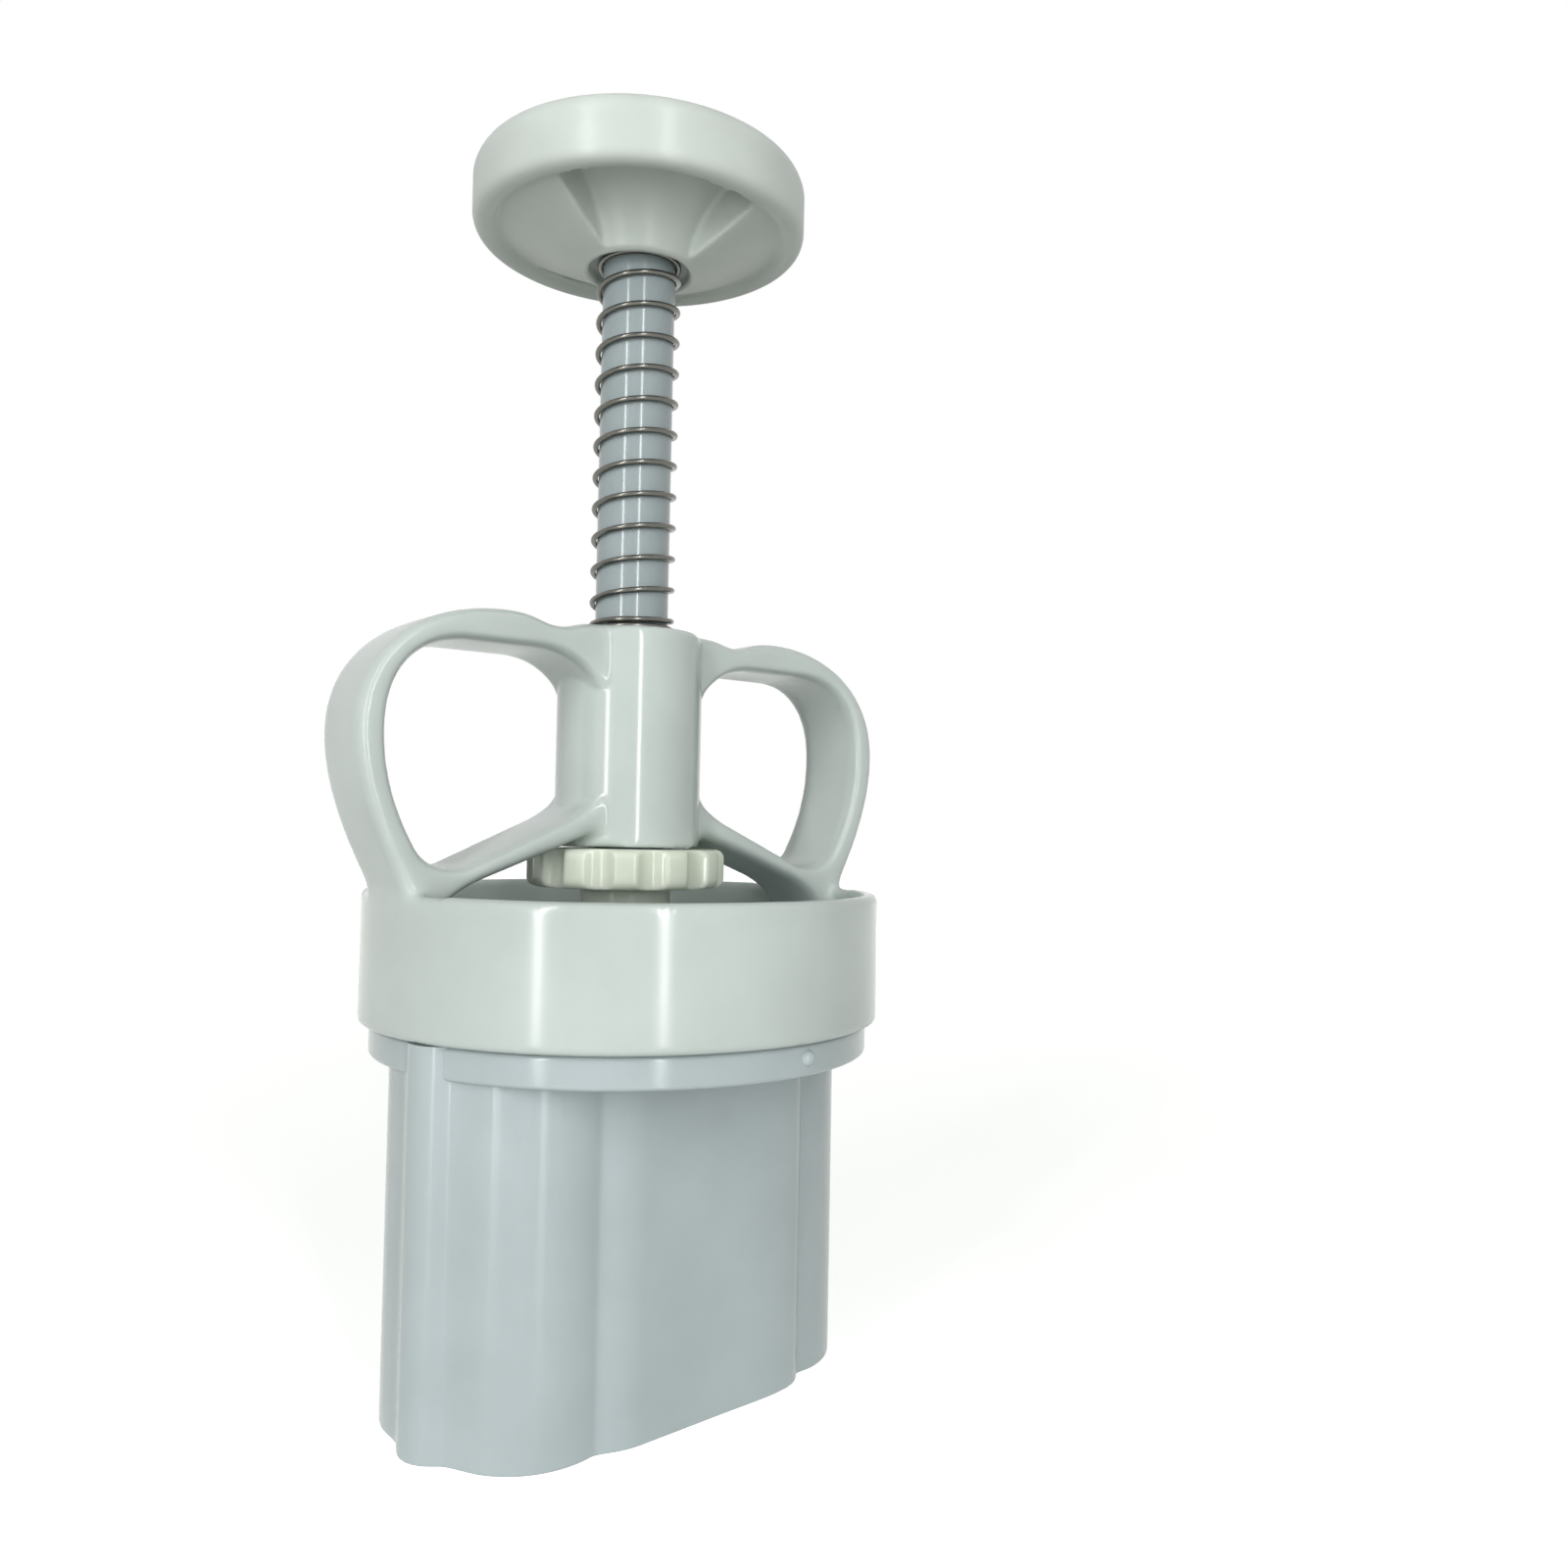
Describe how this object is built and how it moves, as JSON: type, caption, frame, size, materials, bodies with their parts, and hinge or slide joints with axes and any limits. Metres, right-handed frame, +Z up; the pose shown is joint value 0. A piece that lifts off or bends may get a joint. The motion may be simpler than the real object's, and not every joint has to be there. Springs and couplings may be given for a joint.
{
  "type": "mooncake press",
  "caption": "Sprung hand plunger with finger loops and a palm knob over a twist-lock lantern-shaped mould and its patterned stamp.",
  "frame": {"origin": "on the press axis, in the plane of the mould's mouth, on which the press stands", "axes": "+Z up along the press axis to the palm knob, +X in the plane of the finger loops towards the lantern's large dome"},
  "size_m": [0.0796, 0.0684, 0.1632],
  "materials": {
    "knob_plastic": "moulded, glossy, milky off-white",
    "handle_plastic": "moulded, glossy, milky off-white",
    "mould_plastic": "moulded, glossy, milky off-white",
    "rod_plastic": "moulded, glossy, bluish milky white",
    "nut_plastic": "moulded, glossy, natural translucent",
    "stamp_plastic": "moulded, satin, milky off-white",
    "spring_steel": "bright drawn wire",
    "screw_steel": "zinc plated"
  },
  "bodies": {
    "mould": {"mould_barrel": "mould_plastic"},
    "handle": {"handle_body": "handle_plastic", "return_spring": "spring_steel"},
    "plunger": {"palm_knob": "knob_plastic", "knob_plug": "knob_plastic", "knob_screw": "screw_steel", "plunger_rod": "rod_plastic", "plunger_foot": "rod_plastic", "foot_screw": "screw_steel"},
    "nut": {"thickness_nut": "nut_plastic"},
    "stamp": {"stamp_plate": "stamp_plastic"}
  },
  "joints": [
    {"name": "handle_twist", "type": "hinge", "parent": "mould", "child": "handle", "pos_m": [0, 0, 0.052], "axis": [0, 0, 1], "range_deg": [-24, 0]},
    {"name": "plunger_press", "type": "slide", "parent": "mould", "child": "plunger", "axis": [0, 0, -1], "range_m": [0, 0.0355], "stiffness_N_per_m": 330, "springref_m": -0.012, "deforming": ["return_spring"]},
    {"name": "nut_turn", "type": "hinge", "parent": "plunger", "child": "nut", "pos_m": [0, 0, 0.0669], "axis": [0, 0, 1], "range_deg": [-2250, 0]},
    {"name": "stamp_pull", "type": "slide", "parent": "plunger", "child": "stamp", "axis": [0, 0, -1], "range_m": [0, 0.006]}
  ]
}
